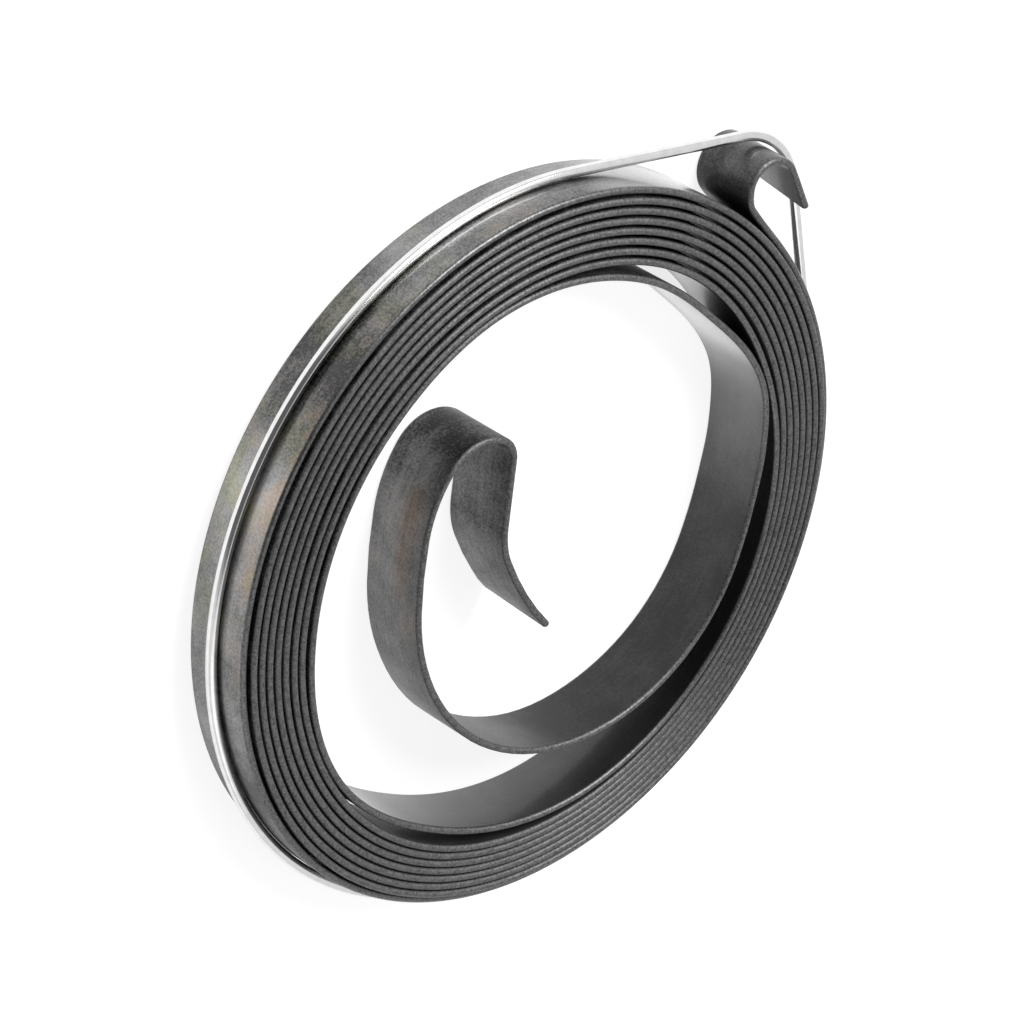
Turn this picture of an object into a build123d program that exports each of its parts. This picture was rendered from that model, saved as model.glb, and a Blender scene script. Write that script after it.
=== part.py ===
"""Recoil starter spring: a coiled flat strip with a hook at each end, and the wire hoop that holds it wound.

The coil lies flat with its axis on Z. The lower edge of the strip is at Z = 0 and the origin is the
centre of the outermost turn. The strip is followed from its outer end inwards, clockwise seen from above.
"""
from build123d import *
from math import acos, atan2, cos, degrees, exp, pi, radians, sin
import os

# Strip
strip_width = 8.0
strip_thickness = 0.75

# Coil: places along it are counted in turns from where the outer hook leaves it
coil_radius = 38.2
hook_angle = 300.0
turn_gap = 0.165
gap_swing = 0.7
wide_side = 5.0
touch_gap = 0.06
arc_sweep = 30.0
loose_arc_sweep = 10.0
heading_step = 0.0001

# Stretches of the tight coil where the gap is wider: turns, extra gap, spread in turns
wider_gaps = [(1.65, 0.12, 0.15), (6.75, 0.25, 0.12), (8.05, 0.2, 0.05)]

# The loose inner turn bellies in and comes back to touch: turns, distance in from the touching gap
loose_turn = [
    (8.18, 0.03),
    (8.33, 0.34),
    (8.44, 1.10),
    (8.53, 0.02),
    (8.63, 0.40),
    (8.75, 0.24),
    (8.83, 0.04),
    (8.94, 1.03),
    (9.00, 1.48),
    (9.069, 0.0),
    (9.111, 1.04),
    (9.139, 1.90),
    (9.167, 2.30),
    (9.194, 2.40),
]

# Inner tail, from the loose turn to the tip: bends as radius of the outer face and angle, left turns positive,
# and a straight run as its length and 0. The first two bends are sized by how far they stand in from the coil.
# The end is cut on a slant, so the tip is the strip's upper corner.
tail_sweeps = [(7.4, -47.0), (5.3, -105.0)]
tail_bends = [(45.0, -10.0), (14.3, -29.5), (5.4, -84.5), (2.9, -62.0), (7.2, 0), (8.2, 28.0), (32.3, 18.0)]
tail_skew = 2.0

# Outer hook: it leaves the coil straight, turns back on itself and ends in a straight leg
hook_leave = 0.01
hook_root = 5.8
hook_radius = 2.65
hook_bend = 194.5
hook_leg = 5.4

# Retaining wire: it hugs the coil, and runs straight off it at both ends to one wide bend over the hook's crest
wire_diameter = 1.1
wire_clearance = 0.05
wire_side_count = 16
crest_angle = -43.0
crest_bend = 8.5


def gap_slope(index):
    """Rate at which the loose turn's gap changes at a listed place."""
    before = loose_turn[max(index - 1, 0)]
    after = loose_turn[min(index + 1, len(loose_turn) - 1)]
    return (after[1] - before[1]) / (after[0] - before[0])


def loose_gap(turns):
    """Free gap outside the loose turn, on a smooth curve through the listed places."""
    index = max(place for place in range(len(loose_turn) - 1) if turns >= loose_turn[place][0])
    (start, low), (end, high) = loose_turn[index : index + 2]
    span = end - start
    share = (turns - start) / span
    rise = share**2 * (3 - 2 * share)
    leave = share * (1 - share) ** 2 * span * gap_slope(index)
    arrive = share**2 * (1 - share) * span * gap_slope(index + 1)
    return touch_gap + low + (high - low) * rise + leave - arrive


def free_gap(turns):
    """Free gap between the strip at this place and the turn just outside it."""
    if turns >= loose_start:
        return loose_gap(turns)
    wide_turns = (hook_angle - wide_side) / 360
    gap = turn_gap * (1 + gap_swing * cos(2 * pi * (turns - wide_turns)))
    for place, extra, spread in wider_gaps:
        gap += extra * exp(-(((turns - place) / spread) ** 2))
    return gap


def face_radius(turns):
    """Radius of the strip's outer face at a place along the coil."""
    if turns < 1:
        return coil_radius - (strip_thickness + free_gap(1)) * turns
    return face_radius(turns - 1) - strip_thickness - free_gap(turns)


def polar_point(radius, degrees):
    """Point on the plan at a radius and an angle about the coil's axis."""
    return Vector(radius * cos(radians(degrees)), radius * sin(radians(degrees)))


def coil_station(turns):
    """Point of the strip's outer face at a place along the coil, and its heading inwards in degrees."""
    point = polar_point(face_radius(turns), hook_angle - 360 * turns)
    before, after = [
        polar_point(face_radius(place), hook_angle - 360 * place)
        for place in (turns - heading_step, turns + heading_step)
    ]
    run = after - before
    return point, degrees(atan2(run.Y, run.X))


def coil_stations(first, last, sweep):
    """Stations between two places of the coil, two for each arc of about the sweep given."""
    steps = 2 * round((last - first) * 360 / sweep)
    return [coil_station(first + (last - first) * step / steps) for step in range(steps + 1)]


def bend_stations(start, bends):
    """Stations along a run of bends: each has a radius and an angle, left turns positive, or a length and 0."""
    stations = [start]
    for size, angle in bends:
        steps = 2 * max(1, round(abs(angle) / arc_sweep))
        for _ in range(steps):
            point, heading = stations[-1]
            length = 2 * size * sin(radians(abs(angle) / steps / 2)) if angle else size / steps
            middle = heading + angle / steps / 2
            stations.append((point + polar_point(length, middle), heading + angle / steps))
    return stations


def strip_face(stations, depth):
    """One face of the strip: arcs through the stations, moved to the right of their heading by the depth."""
    points = [point + polar_point(depth, heading - 90) for point, heading in stations]
    for index in range(0, len(points) - 1, 2):
        if stations[index][1] == stations[index + 2][1]:
            Line(points[index], points[index + 2])
        else:
            ThreePointArc(*points[index : index + 3])
    return points


loose_start = loose_turn[0][0]
loose_end = loose_turn[-1][0]
tight_coil = coil_stations(hook_leave, loose_start, arc_sweep)
loose_coil = coil_stations(loose_start, loose_end - heading_step, loose_arc_sweep)
sweeps = [(face_radius(loose_end) - inset, angle) for inset, angle in tail_sweeps]
tail = bend_stations(loose_coil[-1], sweeps + tail_bends)

hook_start, hook_heading = tight_coil[0]
hook_bends = [(hook_root, 0), (hook_radius, -hook_bend), (hook_leg, 0)]
hook = bend_stations((hook_start, hook_heading + 180), hook_bends)
hook_inwards = [(point, heading - 180) for point, heading in reversed(hook)]
strip_stations = hook_inwards[:-1] + tight_coil[:-1] + loose_coil[:-1] + tail

# Strip: both faces drawn from the hook's end to the tail's tip, and closed across the two ends
with BuildPart() as spring_strip:
    with BuildSketch() as strip_profile:
        with BuildLine() as strip_outline:
            outer_face = strip_face(strip_stations, 0)
            inner_face = strip_face(strip_stations, strip_thickness)
            Line(outer_face[0], inner_face[0])
            Line(outer_face[-1], inner_face[-1])
        make_face()
    extrude(amount=strip_width)
    tip, tip_heading = tail[-1]
    along = polar_point(1, tip_heading)
    with BuildSketch(Plane(origin=tip, x_dir=along, z_dir=along.cross(Vector(0, 0, 1)))):
        slant = [(-tail_skew, 0), (0, strip_width), (tail_skew, strip_width), (tail_skew, 0)]
        Polygon(*slant, align=None)
    extrude(amount=2 * strip_thickness, both=True, mode=Mode.SUBTRACT)
spring_strip.part.label = "spring_strip"


def leaving_place(side, turns):
    """Place along the coil where the wire runs straight off it to its bend, on one side (1) or the other (-1)."""
    for _ in range(5):
        reach = acos((face_radius(turns) + wire_reach - crest_bend) / bend_centre.length)
        turns = (hook_angle - bend_direction + 180 - side * (180 - degrees(reach))) / 360
    return turns


def wire_point(turns):
    """Centre of the wire where it lies on the coil's outer face."""
    return half_width + polar_point(face_radius(turns) + wire_reach, hook_angle - 360 * turns)


def meeting_point(point, run, other_point, other_run):
    """Point on the plan where two straight lines meet, each given by a point and its run."""
    across = other_run.cross(Vector(0, 0, 1))
    return point + run * ((other_point - point).dot(across) / run.dot(across))


# Retaining wire: a closed hoop at half the strip's width. Its round section is drawn with narrow flats.
half_width = Vector(0, 0, strip_width / 2)
wire_reach = wire_diameter / 2 + wire_clearance
root_end, root_heading = hook[2]
hook_centre = root_end + polar_point(hook_radius, root_heading - 90)
bend_centre = hook_centre + polar_point(hook_radius + strip_thickness + wire_reach - crest_bend, crest_angle)
bend_direction = degrees(atan2(bend_centre.Y, bend_centre.X)) % 360
right_end = leaving_place(1, 0)
left_end = leaving_place(-1, 1)
hug_arcs = 2 * round((left_end - right_end) * 180 / arc_sweep)
lie = [wire_point(right_end + (left_end - right_end) * step / hug_arcs) for step in range(hug_arcs + 1)]
right_run = polar_point(1, hook_angle - 360 * right_end - 90)
with BuildPart() as retaining_wire:
    with BuildLine() as hug:
        left_run = right_run
        for step in range(hug_arcs):
            left_run = TangentArc(lie[step], lie[step + 1], tangent=left_run) % 1
    with BuildSketch(Plane(origin=lie[0], x_dir=(0, 0, 1), z_dir=right_run)):
        RegularPolygon(wire_diameter / 2, wire_side_count)
    sweep(path=hug.wire())
    with BuildLine() as crest:
        corner = meeting_point(lie[0], right_run, lie[-1], left_run)
        FilletPolyline(lie[-1], corner, lie[0], radius=crest_bend)
    with BuildSketch(Plane(origin=lie[-1], x_dir=(0, 0, 1), z_dir=left_run)):
        RegularPolygon(wire_diameter / 2, wire_side_count)
    sweep(path=crest.wire())
retaining_wire.part.label = "retaining_wire"

os.makedirs("parts", exist_ok=True)
export_step(spring_strip.part, "parts/spring_strip.step")
export_step(retaining_wire.part, "parts/retaining_wire.step")
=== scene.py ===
import bpy
from cmath import polar, rect
from math import acos, cos, degrees, exp, pi, radians
from mathutils import Matrix, Vector


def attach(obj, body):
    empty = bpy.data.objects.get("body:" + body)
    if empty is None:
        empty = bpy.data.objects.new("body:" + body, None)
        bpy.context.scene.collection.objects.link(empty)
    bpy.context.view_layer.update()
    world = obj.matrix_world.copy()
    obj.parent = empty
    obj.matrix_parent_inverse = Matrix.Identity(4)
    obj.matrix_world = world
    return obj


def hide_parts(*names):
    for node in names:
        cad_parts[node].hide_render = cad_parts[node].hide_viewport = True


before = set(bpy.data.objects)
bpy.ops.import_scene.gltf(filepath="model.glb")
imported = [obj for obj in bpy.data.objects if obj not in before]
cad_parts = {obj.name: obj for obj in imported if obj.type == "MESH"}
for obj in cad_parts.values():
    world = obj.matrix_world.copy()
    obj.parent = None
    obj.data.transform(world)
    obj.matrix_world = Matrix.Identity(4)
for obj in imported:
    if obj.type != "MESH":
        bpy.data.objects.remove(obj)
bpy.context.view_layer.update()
bpy.ops.object.select_all(action="DESELECT")

# Spring strip: one length of hardened and tempered steel strip, rolled with rounded edges and wound into a
# tight coil. Its outer end is bent back into a hook. Its inner turn runs loose into a bent tail, whose tip is
# cut on a slant. It lies on its lower edge.
mm = 0.001
strip_width = 8.0
strip_thickness = 0.75
strip_corner = 0.36
corner_segments = 4
sharp_angle = 50

# The coil is a spiral. Places along it are counted in turns from where the hook leaves it.
coil_radius = 38.2
hook_angle = 300.0
turn_gap = 0.165
gap_swing = 0.7
wide_side = 5.0
touch_gap = 0.06
wider_gaps = [(1.65, 0.12, 0.15), (6.75, 0.25, 0.12), (8.05, 0.2, 0.05)]

# The loose inner turn bellies in and comes back to touch: turns, distance in from the touching gap
loose_turn = [
    (8.18, 0.03),
    (8.33, 0.34),
    (8.44, 1.10),
    (8.53, 0.02),
    (8.63, 0.40),
    (8.75, 0.24),
    (8.83, 0.04),
    (8.94, 1.03),
    (9.00, 1.48),
    (9.069, 0.0),
    (9.111, 1.04),
    (9.139, 1.90),
    (9.167, 2.30),
    (9.194, 2.40),
]

# Bends of the tail and of the hook: radius of the outer face and angle, or the length of a straight run and 0
tail_sweeps = [(7.4, -47.0), (5.3, -105.0)]
tail_bends = [(45.0, -10.0), (14.3, -29.5), (5.4, -84.5), (2.9, -62.0), (7.2, 0), (8.2, 28.0), (32.3, 18.0)]
hook_leave = 0.01
hook_bends = [(5.8, 0), (2.65, -194.5), (5.4, 0)]

# Spacing of the cross-sections along the strip
sections_per_turn = 240
bend_step = 4
straight_step = 0.6
heading_step = 0.0001


def between(points, place):
    """Value on a smooth curve through the listed places."""
    if place <= points[0][0]:
        return points[0][1]
    for (start, low), (end, high) in zip(points, points[1:]):
        if place < end:
            share = (place - start) / (end - start)
            return low + (high - low) * share * share * (3 - 2 * share)
    return points[-1][1]


def gap_slope(index):
    """Rate at which the loose turn's gap changes at a listed place."""
    before = loose_turn[max(index - 1, 0)]
    after = loose_turn[min(index + 1, len(loose_turn) - 1)]
    return (after[1] - before[1]) / (after[0] - before[0])


def free_gap(turns):
    """Free gap between the strip at a place along it and the turn just outside it."""
    if turns >= loose_turn[0][0]:
        index = max(place for place in range(len(loose_turn) - 1) if turns >= loose_turn[place][0])
        (start, low), (end, high) = loose_turn[index : index + 2]
        share = (turns - start) / (end - start)
        rise = low + (high - low) * share**2 * (3 - 2 * share)
        leave = share * (1 - share) ** 2 * gap_slope(index)
        arrive = share**2 * (1 - share) * gap_slope(index + 1)
        return touch_gap + rise + (leave - arrive) * (end - start)
    gap = turn_gap * (1 + gap_swing * cos(2 * pi * (turns - (hook_angle - wide_side) / 360)))
    for place, extra, spread in wider_gaps:
        gap += extra * exp(-(((turns - place) / spread) ** 2))
    return gap


def face_radius(turns):
    """Radius of the coil's outer face."""
    if turns < 1:
        return coil_radius - (strip_thickness + free_gap(1)) * turns
    return face_radius(turns - 1) - strip_thickness - free_gap(turns)


def coil_point(turns):
    """Centre line of the coil on the plan, as a complex number."""
    return rect(face_radius(turns) - strip_thickness / 2, radians(hook_angle - 360 * turns))


def bent_run(start, heading, bends, outer_side):
    """Centre line along bends that are given at the outer face, which lies left (1) or right (-1)."""
    points = []
    for size, angle in bends:
        straight = round(size / straight_step) if angle == 0 else 0
        steps = max(2, round(abs(angle) / bend_step), straight)
        turn = radians(angle) / steps
        centre_size = size + outer_side * strip_thickness / 2 * (1 if angle > 0 else -1)
        length = 2 * centre_size * abs(rect(1, turn / 2).imag) if angle else size / steps
        for _ in range(steps):
            start += rect(length, heading + turn / 2)
            heading += turn
            points.append(start)
    return points


coil_end = loose_turn[-1][0]
coil_steps = round(coil_end * sections_per_turn)
coil_places = [hook_leave + (coil_end - hook_leave) * step / coil_steps for step in range(coil_steps + 1)]
coil = [coil_point(turns) for turns in coil_places]
tail_heading = polar(coil[-1] - coil_point(coil_end - heading_step))[1]
hook_heading = polar(coil[0] - coil_point(hook_leave + heading_step))[1]
sweeps = [(face_radius(coil_end) - inset, angle) for inset, angle in tail_sweeps]
tail = bent_run(coil[-1], tail_heading, sweeps + tail_bends, 1)
hook = bent_run(coil[0], hook_heading, hook_bends, -1)
strip_line = hook[::-1] + coil + tail
hook_root = hook[max(2, round(hook_bends[0][0] / straight_step)) - 1]
root_run = (hook_root - coil[0]) / abs(hook_root - coil[0])
hook_centre = hook_root - root_run * 1j * (hook_bends[1][0] + strip_thickness / 2)

# The section of the strip, drawn as a plate with its corners rounded and its face taken out
bpy.ops.mesh.primitive_plane_add(size=1)
profile = bpy.context.object
bpy.ops.transform.resize(value=(strip_thickness * mm, strip_width * mm, 1))
bpy.ops.object.transform_apply(location=False, rotation=False, scale=True)
bpy.ops.object.mode_set(mode="EDIT")
bpy.ops.mesh.select_all(action="SELECT")
bpy.ops.mesh.bevel(offset=strip_corner * mm, segments=corner_segments, affect="VERTICES", clamp_overlap=False)
bpy.ops.mesh.select_all(action="SELECT")
bpy.ops.mesh.delete(type="ONLY_FACE")
bpy.ops.object.mode_set(mode="OBJECT")
bpy.ops.object.convert(target="CURVE")

# The section is drawn along the centre line, from the hook's end to the tail's tip, and both ends are closed
bpy.ops.curve.primitive_nurbs_path_add()
strip = bpy.context.object
strip.name = "strip"
path = strip.data
path.splines.clear()
spline = path.splines.new("POLY")
spline.points.add(len(strip_line) - 1)
for point, place in zip(spline.points, strip_line):
    point.co = (place.real * mm, place.imag * mm, strip_width / 2 * mm, 1)
path.twist_mode = "Z_UP"
path.bevel_mode = "OBJECT"
path.bevel_object = profile
bpy.ops.object.select_all(action="DESELECT")
strip.select_set(True)
bpy.context.view_layer.objects.active = strip
bpy.ops.object.convert(target="MESH")
bpy.ops.object.transform_apply()
bpy.data.objects.remove(profile)
bpy.ops.object.mode_set(mode="EDIT")
bpy.ops.mesh.select_mode(type="EDGE")
bpy.ops.mesh.select_all(action="DESELECT")
bpy.ops.mesh.select_non_manifold()
bpy.ops.mesh.edge_face_add()
bpy.ops.object.mode_set(mode="OBJECT")

# The near edge of the outermost turn and of the hook lies lower, up to a step where the next turn rises over
# them: turns, drop. The hook closes a little at that edge: share of its length, distance. The tail's far edge
# leans: length along it, distance. Both ends are cut on a slant: slope over the last stretch.
outer_drops = [(0.0, 0.64), (0.42, 0.65), (0.55, 0.3), (0.938, 0.22), (0.943, 0.0)]
hook_closes = [(0.08, 0.0), (0.3, 0.4), (0.7, 0.35), (0.92, 0.0)]
tail_leans = [(12, 0.0), (24, -0.2), (36, 0.0), (48, 0.36), (62, 0.3), (74, 0.0)]
tail_skew = 2.0
hook_skew = 2.1
skewed_length = 5.0

# Painted light along the outer and inner face: place in turns, share from dark to bright. The bright places
# are painted reflections of the room, lightest on the outer face near the hook, and the dark places are
# painted shade, as on the inner faces and under the hook's root. Past the coil's two ends the places count on
# by these steps, one for each section of the hook or of the tail.
hook_section = 1 / 100
tail_section = 1 / 150
# Painted reflections and painted shade along the outer face
painted_light_outside = [
    (-0.6, 0.6),
    (-0.3, 0.44),
    (-0.15, 0.08),
    (-0.05, 0.0),
    (0.0, 0.12),
    (0.4, 0.28),
    (0.472, 0.22),
    (0.5, 0.0),
    (0.528, 0.0),
    (0.556, 0.08),
    (0.583, 0.18),
    (0.611, 0.27),
    (0.639, 0.45),
    (0.667, 0.5),
    (0.694, 0.78),
    (0.722, 0.3),
    (0.75, 0.05),
    (0.778, 0.2),
    (0.806, 0.4),
    (0.861, 0.28),
    (0.889, 0.24),
    (0.917, 0.7),
    (0.944, 1.0),
    (0.975, 0.75),
    (1.0, 0.1),
    (9.2, 0.12),
    (9.3, 0.22),
    (9.4, 0.38),
    (9.46, 0.4),
    (9.49, 0.22),
    (9.55, 0.1),
    (9.65, 0.14),
]
# Painted reflections and painted shade along the inner face, which is painted darker than the outer face
painted_light_inside = [
    (-0.6, 0.34),
    (-0.45, 0.22),
    (-0.3, 0.1),
    (-0.15, 0.0),
    (0.02, 0.04),
    (1.0, 0.14),
    (8.1, 0.17),
    (8.2, 0.08),
    (8.37, 0.16),
    (8.43, 0.05),
    (8.6, 0.06),
    (8.9, 0.12),
    (8.95, 0.8),
    (9.035, 1.0),
    (9.06, 0.25),
    (9.095, 0.16),
    (9.16, 0.02),
    (9.22, 0.02),
    (9.3, 0.0),
    (9.33, 0.22),
    (9.36, 0.08),
    (9.6, 0.08),
    (9.72, 0.14),
    (9.79, 0.34),
    (9.88, 0.28),
]

# Tempering colours of the outer face: brown at the near edge, a brown streak on the tail, and olive patches
browned_outside = [
    (0.58, 0.0),
    (0.64, 0.7),
    (0.74, 1.0),
    (0.79, 0.2),
    (0.84, 0.5),
    (0.9, 0.0),
    (9.33, 0.0),
    (9.38, 0.4),
    (9.47, 0.4),
    (9.5, 0.0),
]
streaked_outside = [(9.436, 0.0), (9.45, 0.7), (9.476, 0.85), (9.488, 0.0)]
olive_outside = [(0.6, 0.0), (0.66, 1.0), (0.8, 1.0), (0.86, 0.0)]

# Where the steel is dry and dull instead of oiled, and where it is mottled
dry_outside = [
    (-0.5, 0.6),
    (-0.1, 0.7),
    (0.05, 0.0),
    (0.46, 0.0),
    (0.5, 0.9),
    (0.55, 0.8),
    (0.6, 0.0),
    (0.97, 0.0),
    (1.03, 1.0),
]
dry_inside = [
    (-0.5, 0.6),
    (-0.1, 0.7),
    (0.02, 1.0),
    (7.85, 1.0),
    (7.93, 0.0),
    (8.2, 0.3),
    (8.45, 0.45),
    (8.55, 0.0),
    (9.08, 0.0),
    (9.2, 0.6),
    (9.4, 1.0),
]
mottled_outside = [(-0.1, 0.4), (0.0, 1.0), (0.88, 1.0), (0.92, 0.45), (1.0, 1.0), (9.2, 1.0), (9.4, 0.7)]
mottled_inside = [(-0.1, 0.4), (0.0, 0.15), (9.3, 0.15), (9.45, 0.8)]
clean = [(0.0, 0.0)]

# Each finish, and the painted light, has its values along the outer face and along the inner face
finishes_and_painted_light = {
    # The painted light: painted reflections where it is high, painted shade where it is low
    "painted_reflection_and_shade": (painted_light_outside, painted_light_inside),
    "brown": (browned_outside, clean),
    "streak": (streaked_outside, clean),
    "olive": (olive_outside, clean),
    "dry": (dry_outside, dry_inside),
    "mottle": (mottled_outside, mottled_inside),
}
for name in finishes_and_painted_light:
    strip.data.attributes.new(name, "FLOAT", "POINT")

# Each ring of vertices is moved to its place, and marked with its finish and its painted light
ring_size = len(strip.data.vertices) // len(strip_line)
tip_run = strip_line[-1] - strip_line[-2]
tip_run /= abs(tip_run)
hook_run = strip_line[0] - strip_line[1]
hook_run /= abs(hook_run)
slanted_ends = [(strip_line[-1], tail_skew, tip_run), (strip_line[0], hook_skew, hook_run)]
tail_length = 0
for ring, point in enumerate(strip_line):
    coil_ring = ring - len(hook)
    tail_ring = coil_ring - len(coil)
    turns = coil_places[min(max(coil_ring, 0), len(coil) - 1)]
    turns += min(coil_ring, 0) * hook_section + max(tail_ring, 0) * tail_section
    run = strip_line[min(ring + 1, len(strip_line) - 1)] - strip_line[max(ring - 1, 0)]
    run /= abs(run)
    drop = between(outer_drops, turns)
    close = between(hook_closes, ring / len(hook)) if coil_ring < 0 else 0
    to_centre = (hook_centre - point) / abs(hook_centre - point)
    if tail_ring > 0:
        tail_length += abs(point - strip_line[ring - 1])
    lean = between(tail_leans, tail_length) if tail_ring > 0 else 0
    slant = 0
    for end, skew, end_run in slanted_ends:
        if abs(end - point) < skewed_length and (tail_ring > 0 or ring < len(hook) / 2):
            slant = end_run * skew * (1 - abs(end - point) / skewed_length)
    for index in range(ring * ring_size, (ring + 1) * ring_size):
        vertex = strip.data.vertices[index]
        outside = ((complex(vertex.co.x, vertex.co.y) / mm - point) / run).imag > 0
        height = vertex.co.z / mm / strip_width
        shift = to_centre * close * height - (run * 1j * lean + slant) * (1 - height)
        vertex.co.z *= 1 - drop / strip_width
        vertex.co.x += shift.real * mm
        vertex.co.y += shift.imag * mm
        for name, (on_outside, on_inside) in finishes_and_painted_light.items():
            values = on_outside if outside else on_inside
            strip.data.attributes[name].data[index].value = between(values, turns)
strip.data.update()
bpy.ops.object.shade_smooth_by_angle(angle=radians(sharp_angle))


def linear(code):
    """Linear colour from an sRGB hex value."""
    values = [int(code[i : i + 2], 16) / 255 for i in (0, 2, 4)]
    return [v / 12.92 if v <= 0.04045 else ((v + 0.055) / 1.055) ** 2.4 for v in values] + [1]


def add(tree, kind, settings=(), **links):
    """Add a node with its settings, and its input values or links."""
    node = tree.nodes.new(kind)
    for name, value in dict(settings).items():
        setattr(node, name, value)
    for name, value in links.items():
        socket = node.inputs[int(name[1:])] if name[1:].isdigit() else node.inputs[name.replace("_", " ")]
        if isinstance(value, bpy.types.NodeSocket):
            tree.links.new(value, socket)
        else:
            socket.default_value = value
    return node


# Blued spring steel: cold-rolled carbon steel strip, hardened, tempered and left with its oil. To the eye it
# is a dark, satin, mottled grey that turns almost white where the oil mirrors the table, with brown and olive
# from the heat. The faces' colour also carries painted light: painted reflections that make them lighter, up
# to almost white near the hook, and painted shade that makes the inner faces and the hook's root darker. Its
# edges are lighter and duller, and the faces that rub in the coil are dry and dull.
dark_face = "2a2a2b"
# The pale grey is the colour of the painted reflections
painted_reflection_grey = "b4b4b4"
dark_edge = "4a4a4a"
bright_edge = "7c7c7c"
brown_tint = "f4d8c2"
olive_tint = "fafce4"
oiled_roughness = 0.38
dry_roughness = 0.58
oil_roughness = 0.15
oil_ior = 1.5
dry_oil = 0.15

# Real sizes of its patterns in millimetres. The roll marks are some 8 mm long and 0.4 mm wide, the clouds and
# patches of scale 4 to 5 mm. The pits are about 0.05 mm, too fine to show, and are drawn as 0.24 mm.
roll_mark = (8.33, 8.33, 0.385)
pit_size = 0.238
cloud_size = 3.85
patch_size = 5.26
pit_depth = 0.03
mark_contrast = 0.05
pit_contrast = 0.12
cloud_contrast = 0.13

# A noise lies mostly between these two values
noise_low = 0.38
noise_high = 0.62

# Heights of the brown band along the near edge, and of the streak on the tail, in millimetres
brown_from = 5.2
brown_full = 6.6
brown_below = 0.35
streak_middle = 5.3
streak_half = 1.5
streak_core = 0.6

# How far the surface has turned up or down where the edge's colour begins and is full, and the same for bare,
# unoiled steel: 0 on the faces, 1 on the flat of the edge
edge_from = 0.1
edge_full = 0.5
bare_from = 0.05
bare_full = 0.2

spring_steel = bpy.data.materials.new("blued_spring_steel")
spring_steel.use_nodes = True
tree = spring_steel.node_tree
tree.nodes.clear()
place = add(tree, "ShaderNodeTexCoord").outputs["Object"]
height = add(tree, "ShaderNodeSeparateXYZ", i0=place).outputs[2]
normal = add(tree, "ShaderNodeTexCoord").outputs["Normal"]
upright = add(tree, "ShaderNodeSeparateXYZ", i0=normal).outputs[2]
level = add(tree, "ShaderNodeMath", {"operation": "ABSOLUTE"}, i0=upright).outputs[0]
# The first attribute is the painted light: painted reflections and painted shade
painted_brightness, browned, streaked, olived, dried, mottled = [
    add(tree, "ShaderNodeAttribute", {"attribute_name": name}).outputs["Fac"] for name in finishes_and_painted_light
]

# The face: its painted light, painted reflections and painted shade, sets its brightness, and roll marks,
# pits and clouds darken and brighten it where it is mottled
mark_scale = [1 / (size * mm) for size in roll_mark]
along = add(tree, "ShaderNodeMapping", i0=place, Scale=mark_scale).outputs[0]
marks = add(tree, "ShaderNodeTexNoise", Vector=along, Scale=1.0, Detail=4.0, Roughness=0.6).outputs[0]
pits = add(
    tree, "ShaderNodeTexNoise", Vector=place, Scale=1 / (pit_size * mm), Detail=2.0, Roughness=0.6
).outputs[0]
clouds = add(
    tree, "ShaderNodeTexNoise", Vector=place, Scale=1 / (cloud_size * mm), Detail=4.0, Roughness=0.6
).outputs[0]
patches = add(tree, "ShaderNodeTexNoise", Vector=place, Scale=1 / (patch_size * mm), Detail=2.0).outputs[0]
# The brightness starts from the painted reflections and painted shade, and the mottle is added to it
painted_light_and_mottle = painted_brightness
for pattern, contrast in ((marks, mark_contrast), (pits, pit_contrast), (clouds, cloud_contrast)):
    change = add(
        tree, "ShaderNodeMapRange", i0=pattern, i1=noise_low, i2=noise_high, i3=-contrast, i4=contrast
    ).outputs[0]
    change = add(tree, "ShaderNodeMath", {"operation": "MULTIPLY"}, i0=change, i1=mottled).outputs[0]
    painted_light_and_mottle = add(tree, "ShaderNodeMath", {"operation": "ADD"}, i0=painted_light_and_mottle, i1=change).outputs[0]
face_colour = add(
    tree, "ShaderNodeMix", {"data_type": "RGBA"}, i0=painted_light_and_mottle, i6=linear(dark_face), i7=linear(painted_reflection_grey)
).outputs[2]

# Brown along the near edge, broken up by the clouds, and in the streak on the tail
near_edge = add(
    tree, "ShaderNodeMapRange", i0=height, i1=brown_from * mm, i2=brown_full * mm, i3=brown_below, i4=1.0
).outputs[0]
broken = add(tree, "ShaderNodeMapRange", i0=clouds, i1=0.44, i2=0.56, i3=0.0, i4=0.85).outputs[0]
brown = add(tree, "ShaderNodeMath", {"operation": "MULTIPLY"}, i0=near_edge, i1=broken).outputs[0]
brown = add(tree, "ShaderNodeMath", {"operation": "MULTIPLY"}, i0=brown, i1=browned).outputs[0]
off_streak = add(
    tree, "ShaderNodeMath", {"operation": "SUBTRACT"}, i0=height, i1=streak_middle * mm
).outputs[0]
off_streak = add(tree, "ShaderNodeMath", {"operation": "ABSOLUTE"}, i0=off_streak).outputs[0]
streak = add(tree, "ShaderNodeMapRange", i0=off_streak, i1=streak_half * mm, i2=streak_core * mm).outputs[0]
streak = add(tree, "ShaderNodeMath", {"operation": "MULTIPLY"}, i0=streak, i1=streaked).outputs[0]
brown = add(tree, "ShaderNodeMath", {"operation": "MAXIMUM"}, i0=brown, i1=streak).outputs[0]
brown_face = add(
    tree,
    "ShaderNodeMix",
    {"data_type": "RGBA", "blend_type": "MULTIPLY"},
    i0=brown,
    i6=face_colour,
    i7=linear(brown_tint),
).outputs[2]

# Olive patches
olive = add(tree, "ShaderNodeMapRange", i0=patches, i1=0.48, i2=0.6).outputs[0]
olive = add(tree, "ShaderNodeMath", {"operation": "MULTIPLY"}, i0=olive, i1=olived).outputs[0]
tinted_face = add(
    tree,
    "ShaderNodeMix",
    {"data_type": "RGBA", "blend_type": "MULTIPLY"},
    i0=olive,
    i6=brown_face,
    i7=linear(olive_tint),
).outputs[2]

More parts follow.
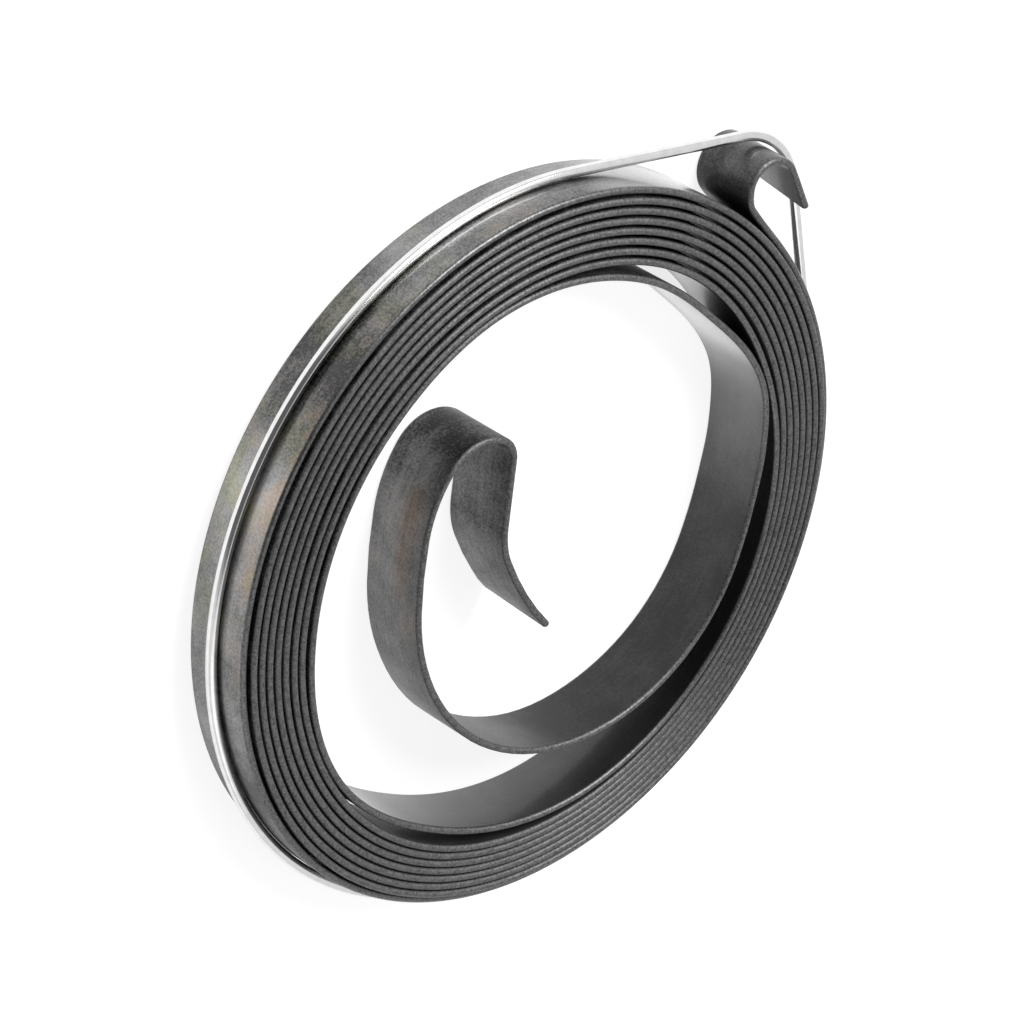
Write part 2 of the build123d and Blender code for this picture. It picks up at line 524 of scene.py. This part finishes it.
# The edges, wherever the surface looks up or down
edge = add(tree, "ShaderNodeMapRange", i0=level, i1=edge_from, i2=edge_full).outputs[0]
edge_tone = add(tree, "ShaderNodeMapRange", i0=pits, i1=0.3, i2=0.7).outputs[0]
edge_colour = add(
    tree, "ShaderNodeMix", {"data_type": "RGBA"}, i0=edge_tone, i6=linear(dark_edge), i7=linear(bright_edge)
).outputs[2]
colour = add(
    tree, "ShaderNodeMix", {"data_type": "RGBA"}, i0=edge, i6=tinted_face, i7=edge_colour
).outputs[2]

# Roughness and oil: dry places are rougher, and they and the rounded edges have little oil
rough = add(tree, "ShaderNodeMapRange", i0=dried, i3=oiled_roughness, i4=dry_roughness).outputs[0]
corner = add(tree, "ShaderNodeMapRange", i0=level, i1=bare_from, i2=bare_full).outputs[0]
bare = add(tree, "ShaderNodeMath", {"operation": "MAXIMUM"}, i0=dried, i1=corner).outputs[0]
oiled = add(tree, "ShaderNodeMapRange", i0=bare, i3=1.0, i4=dry_oil).outputs[0]
bump = add(tree, "ShaderNodeBump", Strength=0.3, Distance=pit_depth * mm, Height=pits).outputs[0]
steel = add(
    tree,
    "ShaderNodeBsdfPrincipled",
    Base_Color=colour,
    Metallic=1.0,
    Roughness=rough,
    Normal=bump,
    Coat_Weight=oiled,
    Coat_Roughness=oil_roughness,
    Coat_IOR=oil_ior,
).outputs[0]
add(tree, "ShaderNodeOutputMaterial", i0=steel)
strip.data.materials.clear()
strip.data.materials.append(spring_steel)
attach(strip, "root")
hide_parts("spring_strip")

# Retaining wire: a hoop of bright drawn steel wire, bent by hand round the coil and over the hook's crest. It
# bears on the outermost turn at half the strip's width, and runs straight off it on both sides to one wide
# bend over the hook.
wire_diameter = 1.1
wire_clearance = 0.05
crest_angle = -43.0
crest_bend = 8.5
hug_steps = 160
bend_steps = 24
wire_round = 6
wire_reach = wire_diameter / 2 + wire_clearance
crest_reach = hook_bends[1][0] + strip_thickness + wire_reach
bend_centre = hook_centre + rect(crest_reach - crest_bend, radians(crest_angle))


def leaving_place(side, turns):
    """Place along the coil where the wire runs straight off it, on one side (1) or the other (-1)."""
    distance, direction = polar(bend_centre)
    for _ in range(5):
        reach = degrees(acos((face_radius(turns) + wire_reach - crest_bend) / distance))
        turns = (hook_angle - degrees(direction) % 360 + 180 - side * (180 - reach)) / 360
    return turns


right_end = leaving_place(1, 0)
left_end = leaving_place(-1, 1)
hug_places = [right_end + (left_end - right_end) * step / hug_steps for step in range(hug_steps + 1)]
hug = [rect(face_radius(turns) + wire_reach, radians(hook_angle - 360 * turns)) for turns in hug_places]
first_angle = radians(hook_angle - 360 * left_end) + 2 * pi
last_angle = radians(hook_angle - 360 * right_end)
bend_angles = [first_angle + (last_angle - first_angle) * step / bend_steps for step in range(bend_steps + 1)]
wire_line = hug + [bend_centre + rect(crest_bend, angle) for angle in bend_angles]

bpy.ops.curve.primitive_nurbs_path_add()
wire = bpy.context.object
wire.name = "wire"
path = wire.data
path.splines.clear()
spline = path.splines.new("POLY")
spline.points.add(len(wire_line) - 1)
for point, place in zip(spline.points, wire_line):
    point.co = (place.real * mm, place.imag * mm, strip_width / 2 * mm, 1)
spline.use_cyclic_u = True
path.bevel_depth = wire_diameter / 2 * mm
path.bevel_resolution = wire_round
bpy.ops.object.select_all(action="DESELECT")
wire.select_set(True)
bpy.context.view_layer.objects.active = wire
bpy.ops.object.convert(target="MESH")
bpy.ops.object.transform_apply()
bpy.ops.object.shade_smooth()

# Drawn steel wire: bright and almost a mirror, with faint cloudy marks of about 1 mm from the drawing soap.
# To the eye it is white where it mirrors the table, and black where it mirrors the strip or the dark room.
dark_wire = "d2d2d2"
bright_wire = "f2f2f2"
wire_roughness = 0.15
soap_mark = 1.11
drawn_wire = bpy.data.materials.new("drawn_steel_wire")
drawn_wire.use_nodes = True
tree = drawn_wire.node_tree
tree.nodes.clear()
place = add(tree, "ShaderNodeTexCoord").outputs["Object"]
soap = add(tree, "ShaderNodeTexNoise", Vector=place, Scale=1 / (soap_mark * mm), Detail=3.0).outputs[0]
wire_colour = add(
    tree, "ShaderNodeMix", {"data_type": "RGBA"}, i0=soap, i6=linear(dark_wire), i7=linear(bright_wire)
).outputs[2]
wire_steel = add(
    tree, "ShaderNodeBsdfPrincipled", Base_Color=wire_colour, Metallic=1.0, Roughness=wire_roughness
).outputs[0]
add(tree, "ShaderNodeOutputMaterial", i0=wire_steel)
wire.data.materials.clear()
wire.data.materials.append(drawn_wire)
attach(wire, "root")
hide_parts("retaining_wire")

# Studio: a white table that the spring lies on, white surroundings and soft lamps. The table glows to the
# camera and in reflections, so that it shows white without more light on the spring, and keeps its shadow.
table_size = 6
table_colour = "a4a4a4"
table_glow = 0.8
white = "ffffff"
bpy.ops.mesh.primitive_plane_add(size=table_size)
table = bpy.context.object
table.name = "table"
white_table = bpy.data.materials.new("white_table")
white_table.use_nodes = True
tree = white_table.node_tree
tree.nodes.clear()
rays = add(tree, "ShaderNodeLightPath").outputs
seen = rays["Is Camera Ray"]
for kind in ("Is Glossy Ray", "Is Transmission Ray"):
    seen = add(tree, "ShaderNodeMath", {"operation": "MAXIMUM"}, i0=seen, i1=rays[kind]).outputs[0]
lit = add(tree, "ShaderNodeBsdfDiffuse", Color=linear(table_colour)).outputs[0]
glow = add(tree, "ShaderNodeEmission", Color=linear(white), Strength=table_glow).outputs[0]
both = add(tree, "ShaderNodeAddShader", i0=lit, i1=glow).outputs[0]
surface = add(tree, "ShaderNodeMixShader", i0=seen, i1=lit, i2=both).outputs[0]
add(tree, "ShaderNodeOutputMaterial", i0=surface)
table.data.materials.append(white_table)

# The room: white to the camera, plain soft light on the spring, and in its reflections bright all round but
# for a dark stretch on the +X +Y side, which the shiny wire and the rounded edges mirror
room_light = 0.5
bright_room = 0.85
dark_room = 0.12
dark_side = (0.643, 0.766, 0.0)
across_dark_side = (-0.766, 0.643, 0.0)
dark_from = -0.2
dark_full = 0.1
dark_half = 0.4
faded_half = 0.65
world = bpy.data.worlds.new("studio")
bpy.context.scene.world = world
world.use_nodes = True
tree = world.node_tree
tree.nodes.clear()
rays = add(tree, "ShaderNodeLightPath").outputs
seen = add(
    tree,
    "ShaderNodeMath",
    {"operation": "MAXIMUM"},
    i0=rays["Is Camera Ray"],
    i1=rays["Is Transmission Ray"],
).outputs[0]
direction = add(tree, "ShaderNodeTexCoord").outputs["Generated"]
ahead = add(
    tree, "ShaderNodeVectorMath", {"operation": "DOT_PRODUCT"}, i0=direction, i1=dark_side
).outputs["Value"]
aside = add(
    tree, "ShaderNodeVectorMath", {"operation": "DOT_PRODUCT"}, i0=direction, i1=across_dark_side
).outputs["Value"]
aside = add(tree, "ShaderNodeMath", {"operation": "ABSOLUTE"}, i0=aside).outputs[0]
in_front = add(tree, "ShaderNodeMapRange", i0=ahead, i1=dark_from, i2=dark_full).outputs[0]
in_line = add(tree, "ShaderNodeMapRange", i0=aside, i1=faded_half, i2=dark_half).outputs[0]
shaded = add(tree, "ShaderNodeMath", {"operation": "MULTIPLY"}, i0=in_front, i1=in_line).outputs[0]
mirrored = add(tree, "ShaderNodeMapRange", i0=shaded, i3=bright_room, i4=dark_room).outputs[0]
level = add(
    tree, "ShaderNodeMix", {"data_type": "FLOAT"}, i0=rays["Is Glossy Ray"], i2=room_light, i3=mirrored
).outputs[0]
level = add(tree, "ShaderNodeMix", {"data_type": "FLOAT"}, i0=seen, i2=level, i3=1.0).outputs[0]
air = add(tree, "ShaderNodeBackground", Color=linear(white), Strength=level).outputs[0]
add(tree, "ShaderNodeOutputWorld", i0=air)

# Two square soft lamps, aimed at the spring: place and side in metres, and power in watts
lamps = [
    ("key_lamp", (0.45, -0.37, 0.6), 0.5, 6.0),
    ("fill_lamp", (-0.4, 0.336, 0.6), 0.5, 0.4),
]
for name, spot, size, power in lamps:
    bpy.ops.object.light_add(type="AREA", location=spot)
    lamp = bpy.context.object
    lamp.name = name
    lamp.data.size = size
    lamp.data.energy = power
    lamp.rotation_euler = Vector(spot).to_track_quat("Z", "Y").to_euler()

# The camera looks down on the spring from the +X +Y side and is rolled, so that the coil stands slanting
image_pixels = 1024
focal_pixels = 5000
camera_place = (0.29918, 0.22234, 0.31046)
camera_right = Vector((-0.13270, -0.73780, 0.66185))
camera_back = Vector((0.61600, 0.46174, 0.63823))
camera_up = camera_back.cross(camera_right)
bpy.ops.object.camera_add(location=camera_place)
camera = bpy.context.object
camera.rotation_euler = Matrix((camera_right, camera_up, camera_back)).transposed().to_euler()
camera.data.sensor_width = 36
camera.data.lens = focal_pixels / image_pixels * camera.data.sensor_width
camera.data.clip_start = 0.01
bpy.context.scene.camera = camera
bpy.context.scene.view_settings.view_transform = "Standard"
